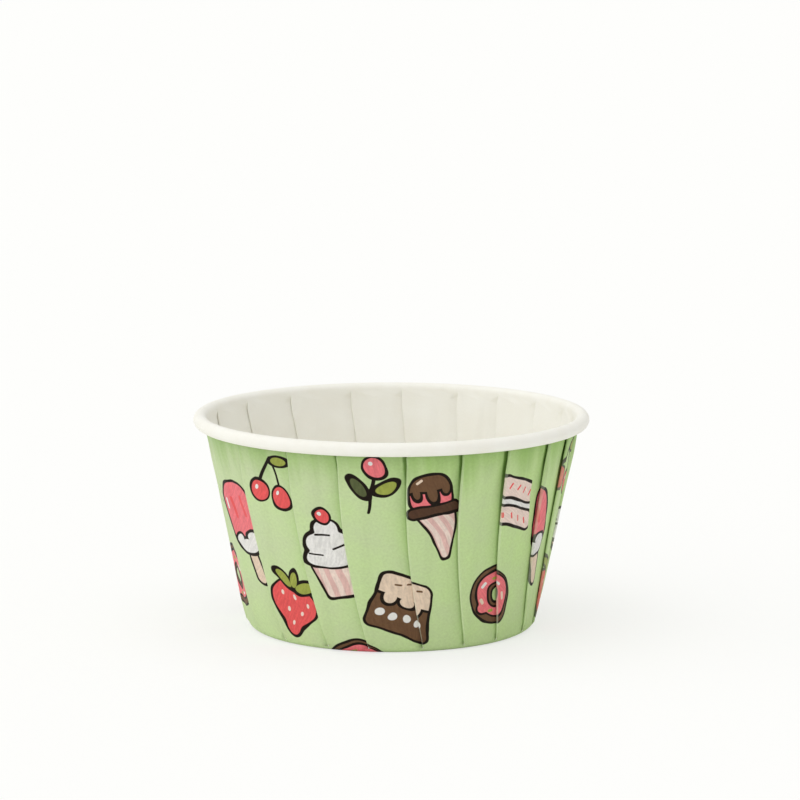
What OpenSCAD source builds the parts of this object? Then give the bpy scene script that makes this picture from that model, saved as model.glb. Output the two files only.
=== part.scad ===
// A paper baking cup with a rolled rim, in millimetres. It is one round sheet of
// coated paper: the middle stays flat as the floor, the rest is gathered into
// pressed pleats as it rises, and its edge is rolled outwards into a bead.
// The origin is at the middle of the floor's underside, and +Z points up.

/* [Cup] */
// Outside diameter over the rolled rim
rim_d = 70; // [64:0.5:80]
// Diameter at the table of the cone that the wall's inner face lies on
base_d = 50.4; // [44:0.2:56]
// Height from the table to the top of the rim
cup_h = 38.2; // [30:0.1:50]
// Outside radius of the bend between floor and wall
bend_r = 1.6; // [0.8:0.1:3]

/* [Paper] */
// Thickness of one layer of paper
paper = 0.16; // [0.12:0.01:0.22]
// Air left between the pressed layers of a pleat
layer_gap = 0.05; // [0.03:0.01:0.08]

/* [Pleats] */
// Number of pleats around the wall
pleats = 20; // [16:1:26]
// Direction of the first pleat's inner fold, seen from above, in degrees from +X
first_pleat = -78; // [-90:0.5:-70]
// How far the pleats are crowded towards one side, in degrees
crowding = 8; // [0:0.5:10]
// Direction that the pleats are crowded towards, in degrees from +X
crowded_side = 14; // [-90:1:90]
// How far the pleats bow to one side between their foot and head, in degrees
bow = 2.2; // [0:0.1:3]
// Width of the slope where a panel comes down off the fold below it
slope_w = 1.5; // [0.8:0.1:2]
// Height over which a pleat grows out of the plain wall above the bend
start_h = 3; // [2:0.1:5]

/* [Rolled rim] */
// Diameter of the bead
bead_d = 2.4; // [2.2:0.1:4]
// Thickness of the gathered paper in the roll
roll_t = 0.4; // [0.3:0.05:0.5]
// How far the paper rolls round from the top of the wall, in degrees
roll_turn = 280; // [240:5:290]
// Height by which the bead hangs below the end of its inner leg
leg_hidden = 0.2; // [0.1:0.05:0.4]

/* [Hidden] */

// How far the base and the roll stand proud of the pleated wall where they hold it
lap = 0.05;
// The base's ring is this much further out, so that it covers the pleats' first rise
rise_cover = 0.04;
// Height of the ring above the bend, and how far the pleated wall runs down into it
ring_h = 0.5;
sunk = 0.2;
// Depth to which the pleated wall runs up into the roll's leg
seat_h = 0.8;
// Levels of the pleated wall between the height where its folds open and its head
rise_steps = 5;
// Height over which the pleats bow out and back
bow_h = 0.9 * cup_h;
// Steps of the arc in the bend's section
bend_steps = 10;

base_r = base_d / 2;
bead_r = bead_d / 2;
bead_centre = [rim_d / 2 - bead_r, cup_h - bead_r];
// Three layers lie on each other at a pleat, with air between them
stack = 3 * paper + 2 * layer_gap;

// The wall leans by this angle from upright. Its inner face passes the bead's centre
// so that the leg's inner face, a lap further in, stands half a lap proud of the bead.
reach = norm(bead_centre - [base_r, 0]);
lean = atan2(bead_centre[0] - base_r, bead_centre[1]) - asin((bead_r - lap / 2) / reach);
// Direction straight out through the wall, in the plane of its section
out = [cos(lean), -sin(lean)];
// The base's paper at the ring, and the centre of the bend, which is tangent to the
// ring's outer face and to the table
ring_t = paper + rise_cover + 2 * lap;
bend_centre = [base_r + (ring_t - lap - bend_r) / cos(lean) + bend_r * tan(lean), bend_r];

ring_top = bend_r + ring_h;
foot_z = ring_top - sunk;
leg_z = cup_h - bead_d + leg_hidden;
head_z = leg_z + seat_h;

// Radius of the wall's inner face at a height
function wall_r(z) = base_r + z * tan(lean);

// Radius in the flat sheet of the paper that ends up at a height in the wall
function sheet_r(z) =
    bend_centre[0] + bend_r * (90 - lean) * PI / 180
    + (z - bend_r * (1 - sin(lean))) / cos(lean);

// Width of a pleat: it takes in its share of the flat sheet's spare circumference
function pleat_w(z) = PI * (sheet_r(z) - wall_r(z)) / pleats;

// Direction of a pleat's inner fold at its foot and head
function inner_fold(i) =
    let (
        even = 360 * i / pleats,
        widest_shift = crowded_side - 90 - first_pleat
    )
    first_pleat + even + crowding * (cos(even - widest_shift) - cos(widest_shift));

// How far the pleats have bowed to one side at a height, as an angle
function bowed(z) = bow * sin(180 * min(1, z / bow_h));

// An arc length at a height as an angle
function turn(w, z) = w / wall_r(z) * 180 / PI;

// A pleat grows from nothing at the wall's foot to its full stack
function grown(z) = min(1, (z - foot_z) / start_h);

// The stations of one pleat at a height, in the order that the sheet passes them.
// Each is [direction on the outer face, how far that face stands out, direction on
// the inner face, how far that face stands out], measured from the wall's inner face.
// The sheet runs under the next panel to the inner fold, back to the outer fold,
// out over both as the next panel, and down a slope to the wall again.
function pleat_stations(i, z) =
    let (
        fold_in = inner_fold(i) - bowed(z),
        fold_out = fold_in - turn(pleat_w(z), z),
        next_out = inner_fold(i + 1) - bowed(z) - turn(pleat_w(z), z),
        open = z > foot_z + start_h ? 1 : 0,
        end_w = turn(paper, z),
        slit_in = fold_out + open * (fold_in - end_w - fold_out),
        slit_out = fold_in - open * (fold_in - end_w - fold_out),
        down = fold_in + turn(slope_w, z),
        rise = grown(z),
        up_1 = rise * layer_gap,
        up_2 = rise * (2 * paper + layer_gap),
        up_3 = rise * 2 * (paper + layer_gap)
    )
    [
        [fold_out, paper, fold_out, 0],
        [(fold_out + slit_in) / 2, paper, (fold_out + fold_in) / 2, 0],
        [slit_in, paper, fold_in, 0],
        [slit_in, paper + up_1, fold_in, up_2],
        [(slit_in + fold_out) / 2, paper + up_1, (fold_in + slit_out) / 2, up_2],
        [fold_out, paper + up_1, slit_out, up_2],
        [fold_out, paper + up_3, slit_out, up_3],
        [(fold_out + fold_in) / 2, paper + up_3, (slit_out + fold_in) / 2, up_3],
        [fold_in, paper + up_3, fold_in, up_3],
        [down, paper, down, 0],
        [down + (next_out - down) / 3, paper, down + (next_out - down) / 3, 0],
        [down + (next_out - down) * 2 / 3, paper, down + (next_out - down) * 2 / 3, 0]
    ];

function all_stations(z) = [for (i = [0 : pleats - 1]) each pleat_stations(i, z)];

// A point at a direction, a distance out from the wall's inner face and a height
function wall_point(direction, stand_out, z) =
    let (r = wall_r(z) + stand_out)
    [r * cos(direction), r * sin(direction), z];

// The two triangles of a four-cornered face, less any that has shrunk to a line
function two_triangles(points, a, b, c, d) =
    [
        for (t = [[a, b, c], [a, c, d]])
            if (points[t[0]] != points[t[1]] && points[t[1]] != points[t[2]]
                && points[t[2]] != points[t[0]])
                t
    ];

// The pleated wall: outer and inner face of the folded sheet at each level, joined
// from level to level and closed at its foot and head
module pleated_wall() {
    open_z = foot_z + start_h;
    levels = [foot_z, open_z, for (k = [1 : rise_steps]) open_z + (head_z - open_z) * k / rise_steps];
    rows = [for (z = levels) all_stations(z)];
    count = len(rows[0]);
    last = len(levels) - 1;
    points = [
        for (k = [0 : last], side = [0, 2], s = rows[k])
            wall_point(s[side], s[side + 1], levels[k])
    ];
    outer_faces = [
        for (k = [0 : last - 1], n = [0 : count - 1])
            let (a = k * 2 * count, b = a + 2 * count, m = (n + 1) % count)
            each two_triangles(points, a + n, b + n, b + m, a + m)
    ];
    inner_faces = [
        for (k = [0 : last - 1], n = [0 : count - 1])
            let (a = k * 2 * count + count, b = a + 2 * count, m = (n + 1) % count)
            each two_triangles(points, a + m, b + m, b + n, a + n)
    ];
    foot = [
        for (n = [0 : count - 1])
            let (m = (n + 1) % count)
            each two_triangles(points, n, m, m + count, n + count)
    ];
    top = last * 2 * count;
    head = [
        for (n = [0 : count - 1])
            let (m = (n + 1) % count)
            each two_triangles(points, top + n + count, top + m + count, top + m, top + n)
    ];
    polyhedron(points = points, faces = concat(outer_faces, inner_faces, foot, head), convexity = 10);
}

// A point of the section, out from the wall's inner face at a height
function section_point(stand_out, z) = [wall_r(z) + stand_out / cos(lean), z];

// Points of an arc in the bend's section, from straight down to straight out, whose
// radius changes evenly from one end to the other
function bend_arc(start_r, end_r) =
    [
        for (k = [0 : bend_steps])
            let (
                a = -90 + k * (90 - lean) / bend_steps,
                r = start_r + (end_r - start_r) * k / bend_steps
            )
            bend_centre + r * [cos(a), sin(a)]
    ];

function reversed(list) = [for (k = [len(list) - 1 : -1 : 0]) list[k]];

// The flat floor, the bend at its edge and the plain ring above the bend. The paper
// of the floor thickens along the bend to the ring, which holds the wall's foot.
module floor_and_bend() {
    rotate_extrude($fn = 180)
        polygon(concat(
            [[0, 0]],
            bend_arc(bend_r, bend_r),
            [section_point(ring_t - lap, ring_top), section_point(-lap, ring_top)],
            reversed(bend_arc(bend_r - paper, bend_r - ring_t)),
            [[0, paper]]
        ));
}

// The edge of the sheet, rolled outwards and down into a hollow bead, with the leg
// that takes in the head of the pleated wall
module rolled_rim() {
    // Directions from the bead's centre to the roll's two ends; the first is hidden
    // in the leg
    hidden_end = 180 - lean + 8;
    free_end = 180 - lean - roll_turn;
    rotate_extrude($fn = 180) {
        difference() {
            translate(bead_centre) circle(r = bead_r, $fn = 48);
            translate(bead_centre) circle(r = bead_r - roll_t, $fn = 48);
            // The turn that the roll leaves open beside the wall
            translate(bead_centre)
                polygon([
                    [0, 0],
                    for (part = [0, 0.5, 1])
                        let (a = hidden_end + part * (free_end + 360 - hidden_end))
                        2 * bead_r * [cos(a), sin(a)]
                ]);
        }
        leg_top = bead_centre - (bead_r + lap / 2) * out;
        polygon([
            leg_top,
            leg_top + (stack + 2 * lap) * out,
            section_point(stack + lap, leg_z),
            section_point(-lap, leg_z)
        ]);
    }
}

// The whole cup, from one sheet of paper
module baking_cup() {
    color([0.7, 0.78, 0.57]) pleated_wall();
    color([0.7, 0.78, 0.57]) floor_and_bend();
    color([0.95, 0.95, 0.92]) rolled_rim();
}

baking_cup();
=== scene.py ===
# %% [markdown]
# # A pleated paper baking cup
# The real cup is one round sheet of coated paper. A press holds its middle flat, lets
# the rest rise as a wall and lays the spare paper in pleats, because a flat disc has
# more paper around its edge than a cup has. At last the edge is rolled outwards into
# a bead. The print is made while the sheet is still flat, so it turns with the sheet
# and is cut wherever a pleat hides a strip of it.
# This lesson does the same: it starts from a flat grid, folds it point by point and
# keeps each point's place on the flat sheet as its UV map for the print.

import math

import bmesh
import bpy
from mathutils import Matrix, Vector, noise


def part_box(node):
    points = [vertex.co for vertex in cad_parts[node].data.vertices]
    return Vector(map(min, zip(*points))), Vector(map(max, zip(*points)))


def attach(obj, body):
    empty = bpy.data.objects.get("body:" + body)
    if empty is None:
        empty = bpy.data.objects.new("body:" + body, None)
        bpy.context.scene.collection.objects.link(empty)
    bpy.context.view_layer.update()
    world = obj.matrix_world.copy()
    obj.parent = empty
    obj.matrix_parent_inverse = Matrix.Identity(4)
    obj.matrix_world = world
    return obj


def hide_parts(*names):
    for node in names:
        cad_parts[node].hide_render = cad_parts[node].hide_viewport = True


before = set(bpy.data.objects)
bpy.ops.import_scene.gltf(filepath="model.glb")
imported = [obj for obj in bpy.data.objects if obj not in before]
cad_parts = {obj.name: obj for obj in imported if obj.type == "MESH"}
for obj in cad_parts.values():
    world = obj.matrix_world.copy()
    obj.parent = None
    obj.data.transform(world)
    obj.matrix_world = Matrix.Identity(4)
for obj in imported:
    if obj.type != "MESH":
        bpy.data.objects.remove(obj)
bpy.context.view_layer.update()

# %% [markdown]
# ## Sizes
# Everything is worked out in millimetres and turned into metres when a point is
# placed. The outside size comes from the frame. The wall's line has to touch two
# circles, the bend at the floor and the bead at the rim, and that gives its lean.

# %% Sizes of the cup
MM = 0.001
low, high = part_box("baking_cup")
RIM_R = high[0] / MM
HEIGHT = high[2] / MM

# Radius at the table of the cone that the wall's inner face lies on
BASE_R = 25.2
# Outside radius of the bend at the floor, and radius of the bead
BEND_R = 1.6
BEAD_R = 1.2
# One layer of paper, and the step from one layer of a pleat to the next
PAPER = 0.16
LAYER_STEP = 0.21
PLEATS = 20
# Direction of the first inner fold, and how far and which way the folds are crowded
FIRST_PLEAT = math.radians(-78)
CROWDING = math.radians(8)
CROWDED_SIDE = math.radians(14)
# How far the folds bow to one side, and the height over which they bow out and back
BOW = math.radians(2.2)
BOW_HEIGHT = 0.9 * HEIGHT

bead_centre = Vector((RIM_R - BEAD_R, HEIGHT - BEAD_R))
reach = math.hypot(bead_centre.x - BASE_R, bead_centre.y)
lean = math.atan2(bead_centre.x - BASE_R, bead_centre.y) - math.asin(BEAD_R / reach)
bend_centre_r = BASE_R + (PAPER - BEND_R) / math.cos(lean) + BEND_R * math.tan(lean)
bend_centre = Vector((bend_centre_r, BEND_R))
print(f"rim radius {RIM_R:.1f} mm, height {HEIGHT:.1f} mm, wall leans {math.degrees(lean):.1f} degrees")

# %% [markdown]
# ## The section of the sheet
# The section is a line from the floor's middle to the end of the roll. For each point
# we need its place, the direction that the printed side faces, and how far it lies
# from the middle of the flat sheet. Straight stretches need few points and round ones
# more, so the section is a list of short steps along lines and arcs.

# %% Section: floor, bend, wall and roll
# Radius where the grid begins. The floor inside it is one flat face.
FLOOR_START = 20.0
ROLL_TURN = math.radians(262)
FLOOR_ROWS = 2
BEND_ROWS = 8
WALL_ROWS = 24
NECK_ROWS = 8
ROLL_ROWS = 20
# The neck is the wall's last stretch, and starts a little lower than the bead
NECK_BELOW_BEAD = 0.3
NECK_HEIGHT = HEIGHT - 2 * BEAD_R - NECK_BELOW_BEAD


def arc_points(centre, radius, start, turn, steps, side):
    """Points on an arc with the direction that the printed side faces, side is 1 for
    away from the centre and -1 for towards it."""
    points = []
    for k in range(1, steps + 1):
        a = start + turn * k / steps
        ray = Vector((math.cos(a), math.sin(a)))
        points.append((centre + ray * radius, ray * side))
    return points


def line_points(end, facing, start, steps):
    """Points on a straight stretch, all with one direction that the printed side faces."""
    return [(start.lerp(end, k / steps), facing) for k in range(1, steps + 1)]


half = PAPER / 2
out = Vector((math.cos(lean), -math.sin(lean)))
down = Vector((0.0, -1.0))
wall_foot = bend_centre + out * (BEND_R - half)
wall_top = bead_centre - out * (BEAD_R - half)
neck = wall_foot.lerp(wall_top, (NECK_HEIGHT - wall_foot.y) / (wall_top.y - wall_foot.y))
section = [(Vector((FLOOR_START, half)), down)]
section += line_points(Vector((bend_centre.x, half)), down, section[-1][0], FLOOR_ROWS)
section += arc_points(bend_centre, BEND_R - half, -math.pi / 2, math.pi / 2 - lean, BEND_ROWS, 1)
section += line_points(neck, out, wall_foot, WALL_ROWS)
section += line_points(wall_top, out, neck, NECK_ROWS)
section += arc_points(bead_centre, BEAD_R - half, math.pi - lean, -ROLL_TURN, ROLL_ROWS, -1)

flat_r = [FLOOR_START]
for (here, _), (there, _) in zip(section, section[1:]):
    flat_r.append(flat_r[-1] + (there - here).length)
WALL_FOOT_ROW = FLOOR_ROWS + BEND_ROWS
NECK_ROW = WALL_FOOT_ROW + WALL_ROWS
WALL_TOP_ROW = NECK_ROW + NECK_ROWS
BLANK_R = flat_r[-1]
wall_start = flat_r[WALL_FOOT_ROW]
print(f"{len(section)} rows, flat sheet {2 * BLANK_R:.0f} mm across, wall from {wall_start:.1f} mm")

# %% [markdown]
# ## The pleats
# At a pleat the sheet runs under the next panel, turns back at an inner fold, turns
# again at an outer fold and comes out on top, so three layers lie on each other.
# The path below follows one pitch, from one inner fold to the next. It gives pairs:
# how far round the cup, and how far out from the wall. Both turns are half circles,
# which leaves a thin gap of air between the layers as in the real cup. The flat sheet
# has more paper at each distance than the cup has room for, and a pleat takes in a
# twentieth of it, so its width isn't chosen but worked out.
# Real pleats are never quite alike, so each has its own place and lift. Behind the
# bead the pleats are pressed flat, and the roll itself is smooth. A path has more
# points where the paper turns, and the same number in every pleat, as a grid needs.

# %% Helpers for the pleats
# Width of the slope that comes down off a fold, and how far an inner fold is tucked in
SLOPE = 2.2
TUCK = 0.1
# How far a free edge lifts, and the width over which the lift fades
LIFT = 0.3
LIFT_WIDTH = 1.1
# How far a panel dips before it runs under the next one
DIP = 0.28
# How uneven the wall is, and how fast that changes round the cup and up the sheet
WAVE = 0.14
WAVES_ROUND = 5.5
WAVES_UP = 0.09
# Direction of the points on a half turn that lie beside its middle
BESIDE_MIDDLE = 0.79
# What a pleat's own differences are for
OWN_LIFT, OWN_DIP, OWN_SEAM_SHADE = 2, 3, 4
# How far each pleat stands from its even place, in degrees, from the first one on
SHIFTS = (
    (0.5, 0, -0.9, 1.4, -0.4, 0.8, -1.1, 0.6, 1.2, -0.7)
    + (0.3, -1.3, 0.9, 0.2, -0.8, 1.0, -0.5, -0.4, 0.6, -2.1)
)


def smooth_step(low_end, high_end, value):
    """0 below the low end, 1 above the high end and a soft rise between them."""
    t = min(1.0, max(0.0, (value - low_end) / (high_end - low_end)))
    return t * t * (3 - 2 * t)


def inner_fold(i, height):
    """Direction of an inner fold at a height. The folds are crowded a little towards
    one side of the cup, and bow to one side on their way up."""
    even = math.tau * i / PLEATS
    widest_shift = CROWDED_SIDE - math.pi / 2 - FIRST_PLEAT
    crowded = CROWDING * (math.cos(even - widest_shift) - math.cos(widest_shift))
    bowed = BOW * math.sin(math.pi * min(1.0, height / BOW_HEIGHT))
    return FIRST_PLEAT + even + crowded - bowed + math.radians(SHIFTS[i % PLEATS])


def own(i, what):
    """A pleat's own small difference from the others, between about -1 and 1. Places
    that are far apart in one noise have nothing to do with each other."""
    place = Vector((i % PLEATS * 3.7 + 0.5, what * 9.1 + 0.3, 0.5))
    return noise.noise(place) * 1.6


def along(start, end, parts):
    """The numbers at some parts of the way from start to end."""
    return [start + (end - start) * p for p in parts]


# %% The path through one pitch
def pitch_path(pitch, w, step, slope, lift, dip):
    """Points from one inner fold to the next as (round, out) in mm. pitch is the
    distance between the folds, w the pleat's width and step its layers' spacing."""
    turn = step / 2
    fold = TUCK * step / LAYER_STEP
    path = []
    # Out of the inner fold, back to the outer fold and round it
    for a in (0.0, BESIDE_MIDDLE):
        path.append((fold - turn + turn * math.cos(a), turn + turn * math.sin(a)))
    for x in along(fold - turn, -w + turn, (0.0, 0.08, 0.3, 0.7, 0.92, 1.0)):
        path.append((x, step))
    for a in (-BESIDE_MIDDLE, 0.0, BESIDE_MIDDLE):
        path.append((-w + turn - turn * math.cos(a), 1.5 * step + turn * math.sin(a)))
    # Over both layers, with the free edge lifted a little, and down the slope
    for x in along(-w + turn, 0.0, (0.0, 0.05, 0.15, 0.35, 0.65, 1.0)):
        path.append((x, 2 * step + lift * math.exp(-(x + w) / LIFT_WIDTH)))
    for part in (0.2, 0.4, 0.6, 0.8, 1.0):
        path.append((slope * part, 2 * step * (1 - smooth_step(0, 1, part))))
    # Along the panel and under the next one
    seam = pitch - w
    for part in (0.2, 0.45, 0.65, 0.82, 1.0):
        path.append((slope + (seam - slope) * part, -dip * smooth_step(0.2, 1.0, part)))
    for part in (0.1, 0.4, 0.8, 1.0):
        x = seam + (w + fold - turn) * part
        path.append((x, -dip * (1 - smooth_step(0.0, 0.6, part))))
    x = pitch + fold - turn + turn * math.cos(BESIDE_MIDDLE)
    path.append((x, turn - turn * math.sin(BESIDE_MIDDLE)))
    return path


COLUMNS = len(pitch_path(10, 3, LAYER_STEP, SLOPE, LIFT, DIP))
# Columns of the outer fold, and of all that lies on top of the two lower layers
OUTER_FOLD = range(8, 12)
ON_TOP = range(8, 17)
print(COLUMNS, "columns in each pleat,", COLUMNS * PLEATS, "around the cup")

# %% [markdown]
# ## Folding the sheet
# A grid is the flat sheet: its columns run round the cup and its rows run outwards.
# Each of its points moves to its folded place, and its place on the flat sheet is kept
# in two layers for the UV map. Two more layers mark the outer folds, where the ink of
# a real cup cracks and the paper shows and a painted highlight lies along the fold's
# edge, and the paper beside each seam, where painted shade stands for the shadow in
# the seam.


# %% Fold each row
# Rows over which the pleats grow out of the plain bend, below and above the wall's foot
GROWTH_ROWS = 3
# Width over which the painted shade beside a seam fades
SEAM_WIDTH = 1.1


def folded_row(row):
    """Place, flat place and the two fold marks of every column in a row."""
    point, facing = section[row]
    r, rho = point.x, flat_r[row]
    up = point.y / HEIGHT
    rise = smooth_step(WALL_FOOT_ROW - GROWTH_ROWS, WALL_FOOT_ROW + GROWTH_ROWS, row)
    rise *= 1 - smooth_step(NECK_ROW, WALL_TOP_ROW, row)
    w = math.pi * (rho - r) / PLEATS * rise
    step = LAYER_STEP * rise
    slope = SLOPE * (0.1 + 0.9 * rise)
    # The pleats stand more and more freely towards the top, and less so at the bead
    play = rise * (0.3 + 0.4 * up + 0.7 * smooth_step(0.55, 0.8, up))
    play *= 1 - 0.6 * smooth_step(0.8, 0.93, up)
    # The painted shade beside the seams grows deeper towards the top
    seam_shade_depth = rise * (0.4 + 0.35 * smooth_step(0.25, 0.8, up) + 0.5 * smooth_step(0.78, 0.95, up))
    folds = [inner_fold(i, point.y) for i in range(PLEATS + 1)]
    # The inner folds' places on the flat sheet, in the sheet's own directions
    flat_folds = [
        FIRST_PLEAT + (fold - FIRST_PLEAT) * r / rho + math.tau * i / PLEATS * (1 - r / rho)
        for i, fold in enumerate(folds)
    ]
    placed = []
    for i in range(PLEATS):
        # Away from the side where they are crowded the pleats lie flatter
        loose = 0.5 + 0.5 * smooth_step(-1.0, -0.3, math.cos(folds[i] - CROWDED_SIDE))
        lift = LIFT * play * loose * (1 + 0.8 * own(i, OWN_LIFT))
        dip = DIP * play * loose * (1 + 0.5 * own(i, OWN_DIP))
        pitch = (folds[i + 1] - folds[i]) * r
        path = pitch_path(pitch, w, step, slope, lift, dip)
        lengths = [0.0]
        ends = path[1:] + [(pitch + path[0][0], path[0][1])]
        for (x0, h0), (x1, h1) in zip(path, ends):
            lengths.append(lengths[-1] + math.hypot(x1 - x0, h1 - h0))
        seam = pitch - w
        at_seam = seam_shade_depth * (1.05 + 0.35 * own(i + 1, OWN_SEAM_SHADE))
        for column, (x, h) in enumerate(path):
            direction = folds[i] + x / r
            wave_place = Vector((direction * WAVES_ROUND, rho * WAVES_UP, 0.0))
            wave = noise.noise(wave_place) * WAVE * play
            place = point + facing * (h + wave)
            flat = flat_folds[i] + (flat_folds[i + 1] - flat_folds[i]) * lengths[column] / lengths[-1]
            # On the outer fold the ink wears off, and a painted highlight lies along the fold's edge
            wear_and_highlight = rise if column in OUTER_FOLD else 0.0
            # Painted shade on the paper beside the seam, where it runs under the next panel, fading
            # away from the seam
            seam_shade = 0.0
            if column not in ON_TOP:
                seam_shade = at_seam * math.exp(-max(0.0, seam - x) / SEAM_WIDTH)
            placed.append((
                Vector((place.x * math.cos(direction), place.x * math.sin(direction), place.y)) * MM,
                Vector((rho * math.cos(flat), rho * math.sin(flat))),
                wear_and_highlight,
                seam_shade,
            ))
    # The grid's last column meets its first
    return placed + placed[:1]


# %% Make the sheet
SAME_PLACE = 1e-7


def fold_sheet():
    """The folded grid with its floor, its UV map and the marks of its folds."""
    rows = [folded_row(row) for row in range(len(section))]
    columns = PLEATS * COLUMNS
    bm = bmesh.new()
    bmesh.ops.create_grid(bm, x_segments=columns, y_segments=len(section) - 1, size=0.5)
    flat_x = bm.verts.layers.float.new("flat_x")
    flat_y = bm.verts.layers.float.new("flat_y")
    # Marks for the pale outer folds, partly wear and partly a painted highlight, and for the painted
    # shade beside the seams
    wear_and_highlight = bm.verts.layers.float.new("wear_and_highlight_fold")
    seam_shade = bm.verts.layers.float.new("painted_seam_shade")
    for v in bm.verts:
        column = round((v.co.x + 0.5) * columns)
        row = round((v.co.y + 0.5) * (len(section) - 1))
        v.co, flat, v[wear_and_highlight], v[seam_shade] = rows[row][column]
        v[flat_x], v[flat_y] = flat
    bmesh.ops.remove_doubles(bm, verts=bm.verts, dist=SAME_PLACE)
    # The boundary near the middle is the floor's edge, and the other one the roll's end
    inner_edge = (FLOOR_START + 0.1) * MM
    floor_edge = [
        e for e in bm.edges
        if e.is_boundary and all(v.co.xy.length < inner_edge for v in e.verts)
    ]
    # The grid's own faces look to the printed side already, and the floor has to follow
    floor = bmesh.ops.contextual_create(bm, geom=floor_edge)["faces"]
    bm.normal_update()
    if floor[0].normal.z > 0:
        bmesh.ops.reverse_faces(bm, faces=floor)
    uv = bm.loops.layers.uv.new("flat_sheet")
    for face in bm.faces:
        face.smooth = True
        for loop in face.loops:
            across = 0.5 + loop.vert[flat_x] / (2 * BLANK_R)
            deep = 0.5 + loop.vert[flat_y] / (2 * BLANK_R)
            loop[uv].uv = (across, deep)
    mesh = bpy.data.meshes.new("cup_sheet")
    bm.to_mesh(mesh)
    bm.free()
    piece = bpy.data.objects.new("cup_sheet", mesh)
    bpy.context.scene.collection.objects.link(piece)
    return piece


cup = fold_sheet()
thickness = cup.modifiers.new("paper_thickness", "SOLIDIFY")
thickness.thickness = PAPER * MM
thickness.offset = 0
thickness.material_offset = 1
thickness.material_offset_rim = 1
print(len(cup.data.polygons), "faces in the sheet")

# %% [markdown]
# ## Printed and plain paper
# Both sides are thin, smooth greaseproof paper: matt with a faint sheen, and a fine
# fibre that shows as tiny bumps and a slightly uneven ink. Fibres lie in the sheet, so
# the noise reads the flat sheet's UV map, in millimetres, and follows every fold.


# %% Helpers for materials
def srgb(r, g, b):
    """An 8-bit screen colour as the linear colour that a shader needs."""
    shares = (r / 255, g / 255, b / 255)
    linear = [c / 12.92 if c <= 0.04045 else ((c + 0.055) / 1.055) ** 2.4 for c in shares]
    return (*linear, 1.0)


def feed(tree, value, socket):
    """Link a socket, or set a plain value."""
    if isinstance(value, bpy.types.NodeSocket):
        tree.links.new(value, socket)
    else:
        socket.default_value = value


def math_node(tree, operation, *values):
    node = tree.nodes.new("ShaderNodeMath")
    node.operation = operation
    for value, socket in zip(values, node.inputs):
        feed(tree, value, socket)
    return node.outputs[0]


def vector_node(tree, operation, *values):
    node = tree.nodes.new("ShaderNodeVectorMath")
    node.operation = operation
    for value, socket in zip(values, node.inputs):
        feed(tree, value, socket)
    is_number = operation in ("LENGTH", "DISTANCE", "DOT_PRODUCT")
    return node.outputs["Value" if is_number else "Vector"]


def mix_color(tree, amount, below, above):
    node = tree.nodes.new("ShaderNodeMix")
    node.data_type = "RGBA"
    feed(tree, amount, node.inputs[0])
    feed(tree, below, node.inputs[6])
    feed(tree, above, node.inputs[7])
    return node.outputs[2]


def scaled(tree, vector, factor):
    """A vector or a colour times a number. The fourth number of a plain colour goes."""
    node = tree.nodes.new("ShaderNodeVectorMath")
    node.operation = "SCALE"
    feed(tree, vector[:3] if isinstance(vector, tuple) else vector, node.inputs[0])
    feed(tree, factor, node.inputs["Scale"])
    return node.outputs[0]


def map_range(tree, value, from_low, from_high, to_low, to_high, smooth=False):
    node = tree.nodes.new("ShaderNodeMapRange")
    if smooth:
        node.interpolation_type = "SMOOTHSTEP"
    names = ("Value", "From Min", "From Max", "To Min", "To Max")
    for name, given in zip(names, (value, from_low, from_high, to_low, to_high)):
        feed(tree, given, node.inputs[name])
    return node.outputs[0]


def noise_node(tree, where, scale, detail=2.0, roughness=0.5):
    node = tree.nodes.new("ShaderNodeTexNoise")
    feed(tree, where, node.inputs["Vector"])
    node.inputs["Scale"].default_value = scale
    node.inputs["Detail"].default_value = detail
    node.inputs["Roughness"].default_value = roughness
    return node.outputs["Fac"]


# %% Colours of the paper and the print
# The green of the paper on the side that faces the left lamp, paler as a painted sheen,
# and on the far side, deeper as painted shade; painted shade under the bead and beside
# the seams, and darkest right at a seam; and the pale green of an outer fold, where the
# ink wears off and a painted highlight lies along the fold's edge
GREEN = srgb(200, 215, 170)
SHADED_SIDE_GREEN = srgb(193, 221, 149)
PAINTED_SHADE_GREEN = srgb(138, 180, 84)
CREASE_SHADE_GREEN = srgb(84, 120, 44)
WORN_HIGHLIGHT_GREEN = srgb(232, 240, 214)
# The plain side, its brighter clouds and its fibres
PLAIN_WHITE = srgb(245, 243, 233)
BRIGHT_WHITE = srgb(248, 247, 239)
FIBRE_WHITE = srgb(230, 227, 213)

INK = srgb(24, 14, 5)
PINK = srgb(238, 122, 128)
RED = srgb(232, 92, 92)
BLUSH = srgb(238, 216, 204)
STRIPE = srgb(226, 186, 178)
CREAM = srgb(230, 207, 184)
WHITE = srgb(232, 230, 226)
BROWN = srgb(110, 80, 56)
DEEP_BROWN = srgb(84, 58, 42)
OLIVE = srgb(158, 167, 77)
DARK_LEAF = srgb(88, 96, 60)
print("ink as a linear colour:", [round(c, 4) for c in INK[:3]])

# %% [markdown]
# ## Motifs
# Each motif is drawn from simple shapes by their distance: a shape's number is below
# zero inside it, zero at its edge and above zero outside. Ink goes wherever the number
# is under about a quarter millimetre, and colour from a quarter millimetre inside the
# edge. That gives every shape the same dark outline, and the drawing stays sharp
# however close the camera comes. A motif is a node group, so its position and tilt are
# inputs. The numbers in it are millimetres from its middle, and angles.

# %% Shapes by distance
# Reach of an outline to each side of an edge, half the width of a fine stroke of the
# pen, and how soft the edge of a colour and of a stripe is
LINE = 0.235
FINE = 0.16
SOFT_EDGE = 0.04
STRIPE_EDGE = 0.15
# The numbers that a motif is given, besides the colour that it is painted on
NUMBERS = ("Direction", "Radius", "At Direction", "At Radius", "Tilt", "Size", "Pen", "Brush")


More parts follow.
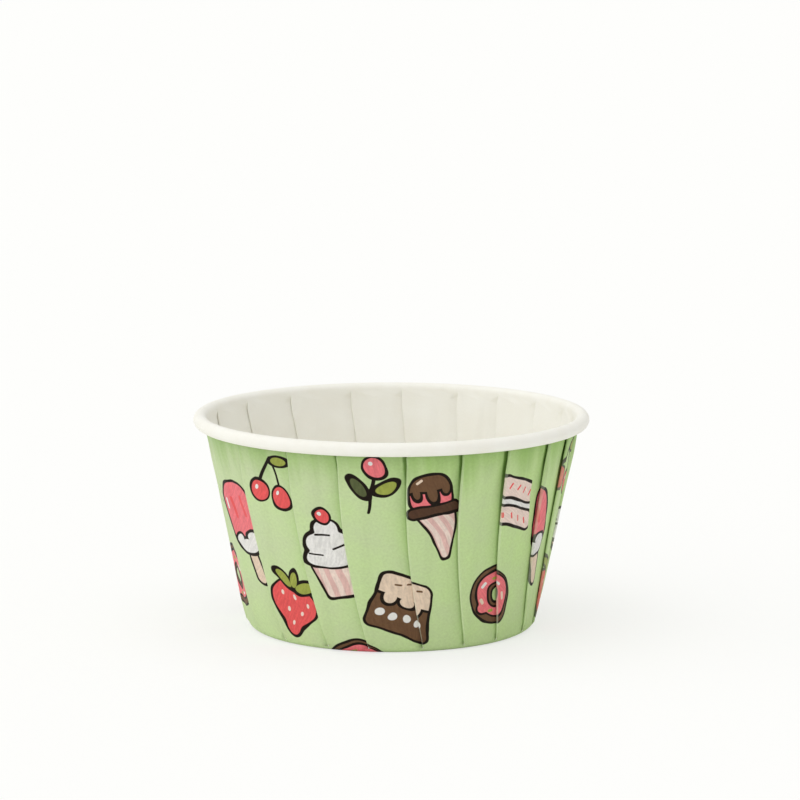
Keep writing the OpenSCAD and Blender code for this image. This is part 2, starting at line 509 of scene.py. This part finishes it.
class Drawing:
    """One motif under construction: its node tree, its local place and its colour."""

    def __init__(self, name):
        self.tree = bpy.data.node_groups.new(name, "ShaderNodeTree")
        face = self.tree.interface
        face.new_socket("Color", in_out="INPUT", socket_type="NodeSocketColor")
        for given_number in NUMBERS:
            face.new_socket(given_number, in_out="INPUT", socket_type="NodeSocketFloat")
        face.new_socket("Color", in_out="OUTPUT", socket_type="NodeSocketColor")
        given = self.tree.nodes.new("NodeGroupInput").outputs
        self.color, self.pen, self.brush = given["Color"], given["Pen"], given["Brush"]
        turn = self.number("SUBTRACT", given["Direction"], given["At Direction"])
        place = self.tree.nodes.new("ShaderNodeCombineXYZ")
        feed(self.tree, self.number("MULTIPLY", turn, given["Radius"]), place.inputs[0])
        feed(self.tree, self.number("SUBTRACT", given["Radius"], given["At Radius"]), place.inputs[1])
        upright = self.turned(place.outputs[0], given["Tilt"])
        self.place = scaled(self.tree, upright, self.number("DIVIDE", 1.0, given["Size"]))

    def number(self, operation, *values):
        return math_node(self.tree, operation, *values)

    def vector(self, operation, *values):
        return vector_node(self.tree, operation, *values)

    def turned(self, place, angle):
        node = self.tree.nodes.new("ShaderNodeVectorRotate")
        node.rotation_type = "Z_AXIS"
        feed(self.tree, place, node.inputs["Vector"])
        feed(self.tree, angle, node.inputs["Angle"])
        return node.outputs[0]

    def at(self, x, y, angle=0.0):
        """The local place seen from a point of the drawing, turned by an angle."""
        moved = self.vector("SUBTRACT", self.place, (x, y, 0))
        return self.turned(moved, -angle) if angle else moved

    def circle(self, x, y, r):
        return self.number("SUBTRACT", self.vector("DISTANCE", self.place, (x, y, 0)), r)

    def oval(self, x, y, rx, ry, angle=0.0):
        as_circle = self.vector("DIVIDE", self.at(x, y, angle), (rx, ry, 1))
        reach = self.number("SUBTRACT", self.vector("LENGTH", as_circle), 1.0)
        return self.number("MULTIPLY", reach, min(rx, ry))

    def box(self, x, y, half_w, half_h, corner, angle=0.0):
        size = self.vector("ABSOLUTE", self.at(x, y, angle))
        over = self.vector("SUBTRACT", size, (half_w - corner, half_h - corner, 0))
        beyond = self.vector("MAXIMUM", over, (0, 0, 0))
        return self.number("SUBTRACT", self.vector("LENGTH", beyond), corner)

    def wedge(self, x, y, low_half, high_half, half_h, corner):
        """A shape with straight sides, as wide as given at its foot and its top."""
        parts = self.tree.nodes.new("ShaderNodeSeparateXYZ")
        feed(self.tree, self.at(x, y), parts.inputs[0])
        spread = (high_half - low_half) / (2 * half_h)
        middle_half = (low_half + high_half) / 2 - corner
        half_w = self.number("MULTIPLY_ADD", parts.outputs[1], spread, middle_half)
        aside = self.number("SUBTRACT", self.number("ABSOLUTE", parts.outputs[0]), half_w)
        above = self.number("SUBTRACT", self.number("ABSOLUTE", parts.outputs[1]), half_h - corner)
        outside = self.number("SMOOTH_MAX", aside, above, 2 * corner)
        return self.number("SUBTRACT", outside, corner)

    def stroke(self, x0, y0, x1, y1, half_w):
        """A straight line with round ends."""
        length = math.hypot(x1 - x0, y1 - y0)
        angle = math.atan2(y1 - y0, x1 - x0)
        return self.box((x0 + x1) / 2, (y0 + y1) / 2, length / 2 + half_w, half_w, half_w, angle)

    def either(self, *shapes):
        joined = shapes[0]
        for shape in shapes[1:]:
            joined = self.number("MINIMUM", joined, shape)
        return joined

    def melted(self, a, b, softness):
        """Two shapes that run into each other."""
        return self.number("SMOOTH_MIN", a, b, softness)

    def both(self, a, b):
        """Where two shapes overlap."""
        return self.number("MAXIMUM", a, b)

    def without(self, a, b):
        return self.both(a, self.number("MULTIPLY", b, -1.0))

    def paint(self, shape, color, grow=0.0):
        inside = map_range(self.tree, shape, grow - SOFT_EDGE, grow + SOFT_EDGE, 1.0, 0.0)
        self.color = mix_color(self.tree, inside, self.color, color)

    def outlined(self, shape, color):
        """Ink a little thicker and thinner as a pen goes, and the brushed colour inside it."""
        self.paint(self.number("ADD", shape, self.pen), INK, LINE)
        self.paint(shape, scaled(self.tree, color, self.brush), -LINE)

    def striped(self, spacing, color_a, color_b, tilt=0.0):
        """Two colours in soft stripes across the drawing, for filling a shape."""
        parts = self.tree.nodes.new("ShaderNodeSeparateXYZ")
        feed(self.tree, self.at(0, 0, tilt), parts.inputs[0])
        wave = self.number("SINE", self.number("MULTIPLY", parts.outputs[0], math.tau / spacing))
        share = map_range(self.tree, wave, -STRIPE_EDGE, STRIPE_EDGE, 0.0, 1.0)
        return mix_color(self.tree, share, color_a, color_b)

    def done(self):
        end = self.tree.nodes.new("NodeGroupOutput")
        self.tree.links.new(self.color, end.inputs["Color"])
        return self.tree


# %% Ice lolly and ice cream
def ice_lolly():
    d = Drawing("ice_lolly")
    d.outlined(d.box(0, -6.2, 1.2, 3.0, 1.1), CREAM)
    body = d.box(0, 1.8, 4.1, 6.2, 3.9)
    d.outlined(body, PINK)
    coat = d.either(
        d.box(0, -3.6, 6, 1.9, 0.6),
        d.oval(-2.6, -1.7, 1.4, 1.0),
        d.oval(1.4, -1.6, 1.7, 1.2),
    )
    d.outlined(d.both(body, coat), WHITE)
    for x in (-1.4, 1.5):
        d.paint(d.stroke(x, 1.9, x, 5.0, 0.32), RED)
    d.paint(d.stroke(-2.9, 3.6, -2.9, 4.8, 0.25), WHITE)
    return d.done()


def ice_cream():
    d = Drawing("ice_cream")
    d.outlined(d.wedge(0, -3.2, 0.7, 3.5, 4.6, 0.5), d.striped(1.7, BLUSH, STRIPE, 0.3))
    scoop = d.circle(0, 3.9, 3.9)
    d.outlined(scoop, PINK)
    sauce = d.either(
        d.box(0, 7.2, 6, 2.7, 1.0),
        d.oval(-2.4, 4.4, 0.9, 1.5),
        d.oval(0.4, 4.4, 1.1, 2.2),
        d.oval(2.9, 4.6, 0.9, 1.2),
    )
    d.outlined(d.both(scoop, sauce), BROWN)
    d.outlined(d.box(0, 1.0, 4.3, 0.9, 0.85), DEEP_BROWN)
    d.paint(d.stroke(-1.9, 6.3, -1.0, 6.9, 0.22), CREAM)
    return d.done()


# %% Iced bun and layer cake
def iced_bun():
    d = Drawing("iced_bun")
    d.outlined(d.wedge(0, -4.6, 3.0, 4.3, 3.0, 0.5), d.striped(1.9, BLUSH, STRIPE))
    icing = d.oval(0, -0.9, 5.0, 2.2)
    for x, y, rx, ry in ((0.2, 1.6, 3.9, 2.1), (0.4, 3.9, 2.4, 2.0)):
        icing = d.melted(icing, d.oval(x, y, rx, ry), 0.6)
    d.outlined(icing, WHITE)
    for x0, y0, x1, y1 in ((-3.4, 0.2, -1.2, -0.4), (0.6, 0.6, 3.3, 1.4), (-1.6, 3.0, 0.6, 2.8)):
        d.paint(d.stroke(x0, y0, x1, y1, FINE), INK)
    d.outlined(d.circle(0.5, 6.3, 1.5), RED)
    d.paint(d.circle(0.0, 6.8, 0.35), WHITE)
    return d.done()


def layer_cake():
    d = Drawing("layer_cake")
    cake = d.box(0, 0, 5.6, 5.2, 1.2)
    d.outlined(cake, BROWN)
    drips = d.either(
        d.box(0, 3.6, 7, 2.4, 0.4),
        d.oval(-3.4, 1.2, 1.3, 1.6),
        d.oval(-0.4, 1.0, 1.5, 1.1),
        d.oval(2.8, 1.2, 1.5, 1.9),
    )
    d.outlined(d.both(cake, drips), CREAM)
    for x, y in ((-3.9, -1.9), (-2.0, -2.2), (0.1, -1.9), (2.1, -2.2), (3.9, -1.8)):
        d.paint(d.oval(x, y, 0.62, 0.75), WHITE)
    for x, y in ((-3.0, 3.4), (-1.3, 4.0), (1.0, 3.3), (3.4, 3.9)):
        d.paint(d.stroke(x - 0.4, y, x + 0.4, y + 0.2, FINE), BROWN)
    d.paint(d.both(cake, d.box(0, -3.7, 7, 0.3, 0.2)), DEEP_BROWN, -LINE)
    return d.done()


# %% Ring cake and sandwich biscuit
def ring_cake():
    d = Drawing("ring_cake")
    hole = d.circle(0, 0, 1.6)
    d.outlined(d.without(d.circle(0, 0, 6.1), hole), BROWN)
    wavy = d.melted(d.oval(0.3, 0.3, 5.2, 4.9), d.circle(-3.0, -2.6, 1.6), 0.5)
    d.outlined(d.without(wavy, d.circle(0, 0, 2.5)), PINK)
    for x0, y0, x1, y1, color in (
        (-3.6, 1.4, -2.9, 2.3, WHITE),
        (-1.2, 3.4, -0.2, 3.7, OLIVE),
        (2.2, 2.6, 2.9, 1.9, WHITE),
        (3.8, -0.2, 3.9, -1.1, CREAM),
        (1.4, -3.4, 2.3, -3.1, WHITE),
        (-1.4, -3.6, -0.6, -3.3, OLIVE),
        (-3.9, -1.0, -3.4, -1.7, CREAM),
    ):
        d.paint(d.stroke(x0, y0, x1, y1, 0.3), color)
    return d.done()


def sandwich_biscuit():
    d = Drawing("sandwich_biscuit")
    d.outlined(d.box(0, 0, 4.3, 1.4, 1.2), WHITE)
    for side in (-1, 1):
        d.outlined(d.box(0, 2.2 * side, 4.6, 1.6, 1.5), BLUSH)
        for x in (-2.6, -0.9, 0.8, 2.5):
            d.paint(d.stroke(x, 2.0 * side, x + 0.3, 2.7 * side, FINE), RED)
    return d.done()


# %% Strawberry, cherries and sprig
def strawberry():
    d = Drawing("strawberry")
    body = d.melted(d.oval(0, 0.6, 4.5, 3.9), d.circle(0, -4.4, 1.3), 5.0)
    d.outlined(body, RED)
    leaves = d.either(
        d.oval(-2.3, 4.3, 2.6, 1.1, -0.5),
        d.oval(2.3, 4.3, 2.6, 1.1, 0.5),
        d.oval(0, 4.9, 1.0, 1.9),
    )
    d.outlined(leaves, OLIVE)
    for x, y in ((-2.4, 1.2), (0.0, 1.6), (2.4, 1.0), (-1.3, -1.2), (1.3, -1.0), (0.0, -3.4)):
        d.paint(d.oval(x, y, 0.28, 0.45), BLUSH)
    return d.done()


def cherries():
    d = Drawing("cherries")
    fruits = ((-2.3, -2.4), (2.5, -3.0))
    for x, y in fruits:
        d.paint(d.stroke(x, y + 1.5, 0.8, 4.6, 0.28), INK)
    d.outlined(d.oval(2.6, 4.4, 2.2, 1.1, 0.35), OLIVE)
    for x, y in fruits:
        d.outlined(d.circle(x, y, 2.1), RED)
        d.paint(d.oval(x - 0.7, y + 0.7, 0.3, 0.5, -0.6), WHITE)
    return d.done()


def sprig():
    d = Drawing("sprig")
    d.paint(d.stroke(0, -5.0, 0, 1.5, 0.26), INK)
    d.outlined(d.oval(-2.0, -0.8, 2.3, 1.1, -0.7), DARK_LEAF)
    d.outlined(d.oval(2.0, 0.4, 2.3, 1.1, 0.7), OLIVE)
    d.outlined(d.circle(0, 3.2, 1.8), PINK)
    d.paint(d.circle(-0.5, 3.7, 0.35), WHITE)
    return d.done()


# %% [markdown]
# ## Laying out the print
# The flat sheet is a disc, so the print is laid out in directions and distances from
# its middle. Three equal sectors carry the same motifs, which is how a repeat is made,
# and twenty pleats don't divide by three, so the folds cut each repeat elsewhere. The
# last two motifs of the list run over the foot's edge and under the floor.

# %% The print, in sectors
SECTORS = 3
SECTOR_START = math.radians(-92)
# Motif, direction in its sector in degrees, distance from the sheet's middle in mm,
# tilt in degrees and size
LAYOUT = (
    (ice_lolly, -52, 45.0, -8, 1.1),
    (strawberry, -34, 32.5, 18, 1.0),
    (cherries, -32.2, 55.5, 12, 0.95),
    (iced_bun, -14, 43.5, -8, 1.05),
    (layer_cake, 9, 33.5, 22, 1.05),
    (sprig, 4, 56.0, 14, 1.05),
    (ice_cream, 23, 50.0, -10, 1.05),
    (ring_cake, 45, 34.5, 0, 0.9),
    (sandwich_biscuit, 55.5, 51.0, 18, 1.15),
    (ring_cake, -12, 22.0, 0, 0.85),
    (strawberry, 46, 14.5, 150, 0.85),
)
# How far a slow noise bends the drawing, and how much another thickens its lines
SHAKE = 2.0
SHAKE_SCALE = 0.17
PEN = 0.07
PEN_SCALE = 0.45
# How fast the brush's strokes change across and along them
STROKES_ACROSS = 2.2
STROKES_ALONG = 0.5
# The range that most of a noise's numbers lie in
USUAL = (0.3, 0.7)


def print_color(tree, flat_mm, base):
    """The print over a base colour, from the flat sheet's place in millimetres."""
    bend = tree.nodes.new("ShaderNodeTexNoise")
    bend.inputs["Scale"].default_value = SHAKE_SCALE
    bend.inputs["Detail"].default_value = 0.5
    feed(tree, flat_mm, bend.inputs["Vector"])
    centred = vector_node(tree, "SUBTRACT", bend.outputs["Color"], (0.5, 0.5, 0.5))
    shake = vector_node(tree, "MULTIPLY", centred, (SHAKE, SHAKE, 0))
    drawn_mm = vector_node(tree, "ADD", flat_mm, shake)
    pen = map_range(tree, noise_node(tree, flat_mm, PEN_SCALE, 0.5), *USUAL, -PEN, PEN)
    radius = vector_node(tree, "LENGTH", drawn_mm)
    parts = tree.nodes.new("ShaderNodeSeparateXYZ")
    tree.links.new(drawn_mm, parts.inputs[0])
    direction = math_node(tree, "ARCTAN2", parts.outputs[1], parts.outputs[0])
    sector = math.tau / SECTORS
    shifted = math_node(tree, "SUBTRACT", direction, SECTOR_START - sector / 2)
    in_sector = math_node(tree, "FLOORED_MODULO", shifted, sector)
    local = math_node(tree, "SUBTRACT", in_sector, sector / 2)
    # The brush went mostly towards and away from the middle, so its strokes are long
    strokes = tree.nodes.new("ShaderNodeCombineXYZ")
    arc = math_node(tree, "MULTIPLY", local, radius)
    feed(tree, math_node(tree, "MULTIPLY", arc, STROKES_ACROSS), strokes.inputs[0])
    feed(tree, math_node(tree, "MULTIPLY", radius, STROKES_ALONG), strokes.inputs[1])
    brush = map_range(tree, noise_node(tree, strokes.outputs[0], 1.0, 3.0, 0.6), *USUAL, 0.82, 1.1)
    color = base
    for motif, at_direction, at_radius, tilt, size in LAYOUT:
        group = tree.nodes.new("ShaderNodeGroup")
        group.node_tree = motif()
        for value, name in (
            (color, "Color"),
            (local, "Direction"),
            (radius, "Radius"),
            (pen, "Pen"),
            (brush, "Brush"),
            (math.radians(at_direction), "At Direction"),
            (at_radius, "At Radius"),
            (math.radians(tilt), "Tilt"),
            (size, "Size"),
        ):
            feed(tree, value, group.inputs[name])
        color = group.outputs["Color"]
    return color


print(len(LAYOUT), "motifs in each of", SECTORS, "sectors")

# %% [markdown]
# ## The two sides of the sheet
# The outside of the real cup isn't one even green. Here its colour is painted paler on
# the side that faces the left lamp, as a sheen, and deeper on the far side, where the
# pleats are crowded, and beside the seams and under the bead, as shade. On the outer
# folds the ink cracks and pale paper shows, and that pale line is also a painted
# highlight of the fold's edge. A painted image could hold all that, but the folding
# already knows where the folds and seams are, so the marks that it left on the sheet
# steer the colours. The inside is plain white paper.

# %% Helpers for both sides of the paper
FIBRE_SCALE = 2.2
CLOUD_SCALE = 0.16
# The range that most of the fibres' numbers lie in
FIBRE_USUAL = (0.35, 0.75)
SHEEN = 0.12
# Height of the fibres' bumps in metres, and how much of it is used
BUMP_HEIGHT = 0.00006
BUMP_STRENGTH = 0.25


def flat_place(tree):
    """The place on the flat sheet, in millimetres from its middle."""
    uv = tree.nodes.new("ShaderNodeUVMap")
    uv.uv_map = "flat_sheet"
    centred = vector_node(tree, "SUBTRACT", uv.outputs[0], (0.5, 0.5, 0))
    return vector_node(tree, "MULTIPLY", centred, (2 * BLANK_R, 2 * BLANK_R, 0))


def fold_mark(tree, name):
    """One of the marks that the folding left on the sheet."""
    node = tree.nodes.new("ShaderNodeAttribute")
    node.attribute_name = name
    return node.outputs["Fac"]


def paper_material(name, roughness):
    """A material with the paper's sheen and bumps, and the parts that its colour needs."""
    material = bpy.data.materials.new(name)
    material.use_nodes = True
    tree = material.node_tree
    shader = tree.nodes["Principled BSDF"]
    shader.inputs["Roughness"].default_value = roughness
    shader.inputs["Specular IOR Level"].default_value = SHEEN
    flat_mm = flat_place(tree)
    # Fibres: soft specks of about half a millimetre, and a coarser cloudiness
    fibre = noise_node(tree, flat_mm, FIBRE_SCALE, 4.0, 0.6)
    cloud = noise_node(tree, flat_mm, CLOUD_SCALE, 3.0, 0.5)
    bump = tree.nodes.new("ShaderNodeBump")
    bump.inputs["Strength"].default_value = BUMP_STRENGTH
    bump.inputs["Distance"].default_value = BUMP_HEIGHT
    tree.links.new(fibre, bump.inputs["Height"])
    tree.links.new(bump.outputs[0], shader.inputs["Normal"])
    return material, tree, shader, flat_mm, fibre, cloud


# %% The printed side
# Distances from the sheet's middle between which painted shade under the bead deepens the colour
# towards the rim
NEAR_RIM = (BLANK_R - 7.5, BLANK_R + 2.0)
# How far that reaches down in streaks, and how close together the streaks are
STREAK_REACH = 13.0
STREAK_SCALE = 0.22


def printed_side():
    material, tree, shader, flat_mm, fibre, cloud = paper_material("printed_side", roughness=0.5)
    # The side that faces the left lamp is painted paler, as a sheen, and the far side,
    # where the pleats are also crowded, is painted deeper, as shade, with random clouds
    half_share = 0.5 / BLANK_R
    crowded = (half_share * math.cos(CROWDED_SIDE), half_share * math.sin(CROWDED_SIDE), 0)
    side = math_node(tree, "ADD", vector_node(tree, "DOT_PRODUCT", flat_mm, crowded), 0.5)
    side_shade_and_tone = math_node(tree, "ADD", side, map_range(tree, cloud, *USUAL, -0.2, 0.2))
    green = mix_color(tree, side_shade_and_tone, GREEN, SHADED_SIDE_GREEN)
    # Painted shade under the bead and beside the seams, deeper on the side away from the left lamp
    # The noise only turns with the direction, so it reaches down from the rim in streaks
    on_rim = scaled(tree, vector_node(tree, "NORMALIZE", flat_mm), BLANK_R)
    streaks = noise_node(tree, on_rim, STREAK_SCALE, 3.0, 0.6)
    streaks = math_node(tree, "MULTIPLY", streaks, STREAK_REACH)
    reach = math_node(tree, "ADD", vector_node(tree, "LENGTH", flat_mm), streaks)
    near_rim = map_range(tree, reach, *NEAR_RIM, 0.0, 0.75, smooth=True)
    beside = fold_mark(tree, "painted_seam_shade")
    painted_shade = math_node(tree, "MAXIMUM", near_rim, math_node(tree, "MULTIPLY", beside, 0.65))
    shade_on_side = map_range(tree, side, 0.0, 1.0, 0.75, 1.0)
    painted_shade = math_node(tree, "MULTIPLY", painted_shade, shade_on_side)
    green = mix_color(tree, painted_shade, green, PAINTED_SHADE_GREEN)
    # Painted shade, darkest right at each seam
    crease_shade = map_range(tree, beside, 0.7, 1.1, 0.0, 0.8, smooth=True)
    green = mix_color(tree, crease_shade, green, CREASE_SHADE_GREEN)
    color = print_color(tree, flat_mm, green)
    # The grain of the fibres, by brightness, so that the ink stays dark
    grain = map_range(tree, fibre, *FIBRE_USUAL, 0.94, 1.06)
    clouds = map_range(tree, cloud, *USUAL, 0.98, 1.02)
    color = scaled(tree, color, math_node(tree, "MULTIPLY", grain, clouds))
    # Where the ink cracked on the outer folds the paper shows, with a painted highlight along the
    # fold's edge
    bare = map_range(tree, cloud, *USUAL, 0.05, 0.35)
    wear_and_highlight = math_node(tree, "MULTIPLY", fold_mark(tree, "wear_and_highlight_fold"), bare)
    color = mix_color(tree, wear_and_highlight, color, WORN_HIGHLIGHT_GREEN)
    tree.links.new(color, shader.inputs["Base Color"])
    return material


# %% The plain side
def plain_side():
    material, tree, shader, flat_mm, fibre, cloud = paper_material("plain_side", roughness=0.55)
    clouds = map_range(tree, cloud, *USUAL, 0.0, 1.0)
    white = mix_color(tree, clouds, PLAIN_WHITE, BRIGHT_WHITE)
    fibres = map_range(tree, fibre, *FIBRE_USUAL, 0.0, 0.12)
    color = mix_color(tree, fibres, white, FIBRE_WHITE)
    tree.links.new(color, shader.inputs["Base Color"])
    return material


# %% Both sides on the cup
cup.data.materials.append(printed_side())
cup.data.materials.append(plain_side())
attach(cup, "root")
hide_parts("baking_cup")
print("materials:", [m.name for m in cup.data.materials])

# %% [markdown]
# ## Floor, light and camera
# The cup stands on a plain pale surface that runs on to the top of the picture. A pale
# sky gives the even light of a white room, a wide lamp overhead darkens the wall under
# the bead, and a soft lamp on the left gives the wall its shape. To the camera the
# surface is partly plain white, so that its shadow is as faint as on a lit table.


# %% Floor
FLOOR_HALF = 6.0
FLOOR_COLOR = srgb(254, 254, 252)
# How much of the surface is plain white to the camera
PLAIN_SHARE = 0.65


def stage_floor():
    bm = bmesh.new()
    bmesh.ops.create_grid(bm, x_segments=1, y_segments=1, size=FLOOR_HALF)
    mesh = bpy.data.meshes.new("stage_floor")
    bm.to_mesh(mesh)
    bm.free()
    floor = bpy.data.objects.new("stage_floor", mesh)
    bpy.context.scene.collection.objects.link(floor)
    material = bpy.data.materials.new("stage_floor")
    material.use_nodes = True
    tree = material.node_tree
    lit = tree.nodes["Principled BSDF"]
    lit.inputs["Base Color"].default_value = FLOOR_COLOR
    lit.inputs["Roughness"].default_value = 0.9
    lit.inputs["Specular IOR Level"].default_value = 0.0
    plain = tree.nodes.new("ShaderNodeEmission")
    plain.inputs["Color"].default_value = FLOOR_COLOR
    path = tree.nodes.new("ShaderNodeLightPath")
    seen = math_node(tree, "MULTIPLY", path.outputs["Is Camera Ray"], PLAIN_SHARE)
    both = tree.nodes.new("ShaderNodeMixShader")
    tree.links.new(seen, both.inputs[0])
    tree.links.new(lit.outputs[0], both.inputs[1])
    tree.links.new(plain.outputs[0], both.inputs[2])
    tree.links.new(both.outputs[0], tree.nodes["Material Output"].inputs["Surface"])
    mesh.materials.append(material)
    return floor


print("surface:", stage_floor().name)

# %% Light
SKY_LEVEL = 0.62
# Name, strength, width in degrees and the direction in which the light falls
LAMPS = (
    ("overhead", 0.72, 70, (0.0, 0.1, -1.0)),
    ("left", 0.88, 90, (0.9, 0.32, -0.6)),
)

world = bpy.data.worlds.new("pale_room")
world.use_nodes = True
background = world.node_tree.nodes["Background"]
background.inputs["Color"].default_value = (1.0, 1.0, 1.0, 1.0)
background.inputs["Strength"].default_value = SKY_LEVEL
bpy.context.scene.world = world

for name, strength, width, falls in LAMPS:
    lamp_data = bpy.data.lights.new(name, "SUN")
    lamp_data.energy = strength
    lamp_data.angle = math.radians(width)
    lamp = bpy.data.objects.new(name, lamp_data)
    lamp.rotation_euler = Vector(falls).to_track_quat("-Z", "Y").to_euler()
    bpy.context.scene.collection.objects.link(lamp)
print("lamps:", [name for name, *_ in LAMPS])

# %% Camera
# Distance and target in metres, lens and sensor in millimetres, and the picture's
# shift as a share of its width
DISTANCE = 0.700
ELEVATION = math.radians(10.57)
TARGET = Vector((0.0, 0.0, 0.020))
LENS = 177.3
SENSOR = 36.0
SHIFT_X = 0.0108
SHIFT_Y = 0.1405

camera_data = bpy.data.cameras.new("camera")
camera_data.lens = LENS
camera_data.sensor_width = SENSOR
camera_data.shift_x = SHIFT_X
camera_data.shift_y = SHIFT_Y
camera = bpy.data.objects.new("camera", camera_data)
camera.location = TARGET + Vector((0.0, -math.cos(ELEVATION), math.sin(ELEVATION))) * DISTANCE
camera.rotation_euler = (TARGET - camera.location).to_track_quat("-Z", "Y").to_euler()
bpy.context.scene.collection.objects.link(camera)
bpy.context.scene.camera = camera
bpy.context.scene.view_settings.view_transform = "Standard"
print(f"camera {DISTANCE} m away, {math.degrees(ELEVATION):.1f} degrees up")
